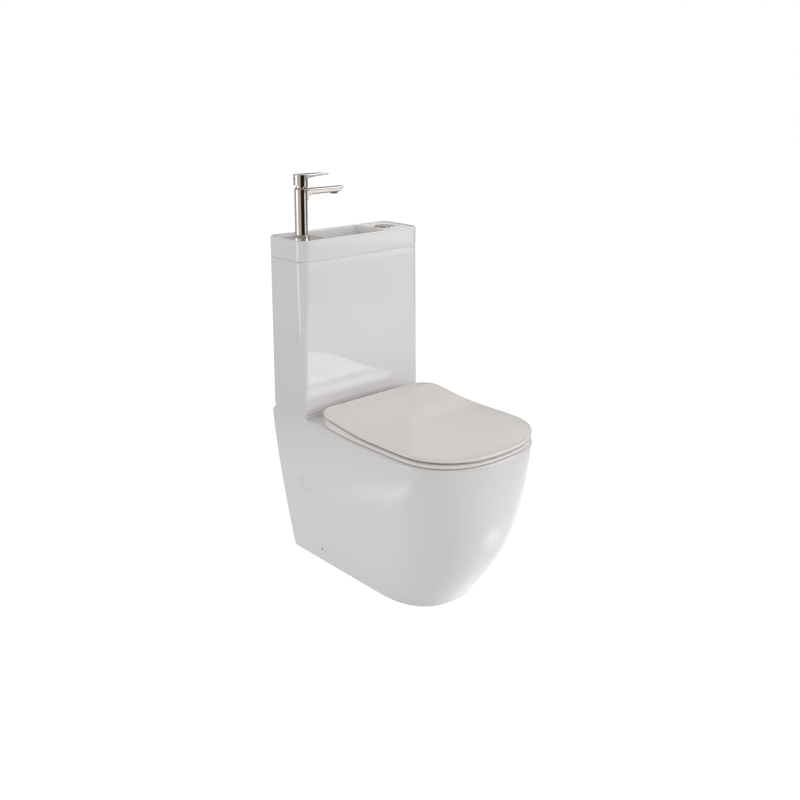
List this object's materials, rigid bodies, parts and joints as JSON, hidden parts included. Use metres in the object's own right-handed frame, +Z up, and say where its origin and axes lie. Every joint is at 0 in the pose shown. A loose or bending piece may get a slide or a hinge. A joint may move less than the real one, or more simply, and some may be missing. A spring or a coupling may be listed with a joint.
{
  "type": "toilet with basin on the cistern",
  "caption": "Close-coupled toilet with a skirted pan and a hand basin with a lever tap on top of its cistern; seat, lid, tap and flush buttons move.",
  "frame": {"origin": "on the floor under the middle of the whole object's box", "axes": "+Z up, +Y towards the wall, so the user in front faces +Y and the front of the pan points to -Y; +X is to the right of someone who faces the toilet"},
  "size_m": [0.37, 0.596, 0.9648],
  "materials": {
    "glazed_ceramic": "gloss",
    "seat_duroplast": "satin",
    "chrome_metal": "polished",
    "button_chrome": "polished",
    "steel": "satin",
    "brass": "satin",
    "braided_steel": "satin",
    "white_plastic": "satin",
    "grey_plastic": "satin",
    "blue_plastic": "satin",
    "black_rubber": "matte",
    "clear_rubber": "matte",
    "red_rubber": "matte"
  },
  "bodies": {
    "base": {"pan": "glazed_ceramic", "cistern": "glazed_ceramic", "basin": "glazed_ceramic", "hinge_post_left": "chrome_metal", "hinge_post_right": "chrome_metal", "hinge_pins": "steel", "hinge_studs": "steel", "hinge_plugs": "black_rubber", "hinge_nuts": "white_plastic", "tap_body": "chrome_metal", "tap_aerator": "grey_plastic", "tap_cartridge": "white_plastic", "tap_collar": "chrome_metal", "tap_stud": "steel", "tap_clamp": "steel", "tap_nut": "brass", "tap_tail": "braided_steel", "basin_waste": "chrome_metal", "waste_gasket": "black_rubber", "waste_nut": "white_plastic", "button_bezel": "button_chrome", "button_nut": "white_plastic", "spring_full": "steel", "spring_half": "steel", "valve_cage": "white_plastic", "valve_washer": "black_rubber", "valve_nut": "white_plastic", "coupling_gasket": "black_rubber", "rocker_bracket": "grey_plastic", "rocker_pin": "steel", "fill_valve": "white_plastic", "fill_valve_nut": "white_plastic", "coupling_bolts": "brass", "coupling_washers": "black_rubber", "coupling_wing_nuts": "brass", "side_covers": "white_plastic", "floor_brackets": "steel", "side_screws": "steel"},
    "seat_unit": {"seat": "seat_duroplast", "seat_buffers": "clear_rubber", "seat_damper": "grey_plastic"},
    "lid_unit": {"lid": "seat_duroplast", "lid_buffers": "clear_rubber", "lid_damper": "grey_plastic"},
    "tap_swivel_unit": {"tap_rotor": "white_plastic", "tap_pivot_pin": "steel"},
    "tap_lever_unit": {"tap_handle": "chrome_metal", "tap_stem": "brass", "tap_grub_screw": "steel"},
    "full_push": {"button_full": "button_chrome", "rod_full": "white_plastic"},
    "half_push": {"button_half": "button_chrome", "rod_half": "white_plastic"},
    "full_rocker": {"rocker_full": "white_plastic"},
    "half_rocker": {"rocker_half": "white_plastic"},
    "flush_tube": {"overflow_tube": "white_plastic", "valve_seal": "red_rubber"},
    "half_float": {"half_flush_float": "blue_plastic"},
    "fill_float": {"float_cup": "blue_plastic"},
    "fill_arm": {"float_arm": "grey_plastic"}
  },
  "joints": [
    {"name": "seat_hinge", "type": "hinge", "parent": "base", "child": "seat_unit", "pos_m": [0, 0.121, 0.413], "axis": [-1, 0, 0], "range_deg": [0, 95]},
    {"name": "lid_hinge", "type": "hinge", "parent": "seat_unit", "child": "lid_unit", "pos_m": [0, 0.121, 0.413], "axis": [1, 0, 0], "range_deg": [-95, 0]},
    {"name": "tap_swivel", "type": "hinge", "parent": "base", "child": "tap_swivel_unit", "pos_m": [-0.133, 0.2315, 0.9393], "axis": [0, 0, 1], "range_deg": [-45, 45]},
    {"name": "tap_lift", "type": "hinge", "parent": "tap_swivel_unit", "child": "tap_lever_unit", "pos_m": [-0.133, 0.2315, 0.9453], "axis": [0, -1, 0], "range_deg": [0, 22]},
    {"name": "full_button", "type": "slide", "parent": "base", "child": "full_push", "axis": [0, 0, -1], "range_m": [0, 0.007], "stiffness_N_per_m": 300, "springref_m": -0.004, "deforming": ["spring_full"]},
    {"name": "half_button", "type": "slide", "parent": "base", "child": "half_push", "axis": [0, 0, -1], "range_m": [0, 0.007], "stiffness_N_per_m": 300, "springref_m": -0.004, "deforming": ["spring_half"]},
    {"name": "full_rocker_turn", "type": "hinge", "parent": "base", "child": "full_rocker", "pos_m": [0.062, 0.2315, 0.6026], "axis": [0, 1, 0], "range_deg": [0, 6.95]},
    {"name": "half_rocker_turn", "type": "hinge", "parent": "base", "child": "half_rocker", "pos_m": [0.062, 0.2315, 0.6026], "axis": [0, 1, 0], "range_deg": [0, 6.95]},
    {"name": "flush_tube_lift", "type": "slide", "parent": "base", "child": "flush_tube", "axis": [0, 0, 1], "range_m": [0, 0.00752]},
    {"name": "half_float_lift", "type": "slide", "parent": "base", "child": "half_float", "axis": [0, 0, 1], "range_m": [0, 0.00752]},
    {"name": "float_rise", "type": "slide", "parent": "base", "child": "fill_float", "axis": [0, 0, 1], "range_m": [0, 0.012]},
    {"name": "float_arm_turn", "type": "hinge", "parent": "base", "child": "fill_arm", "pos_m": [-0.13, 0.2315, 0.6806], "axis": [0, -1, 0], "range_deg": [0, 21.6]}
  ],
  "couplings": [
    {"joint": "full_rocker_turn", "follows": "full_button", "rad_per_m": 17.241},
    {"joint": "flush_tube_lift", "follows": "full_button", "ratio": 1.069},
    {"joint": "half_rocker_turn", "follows": "half_button", "rad_per_m": 17.241},
    {"joint": "half_float_lift", "follows": "half_button", "ratio": 1.069},
    {"joint": "float_arm_turn", "follows": "float_rise", "rad_per_m": 31.25}
  ]
}
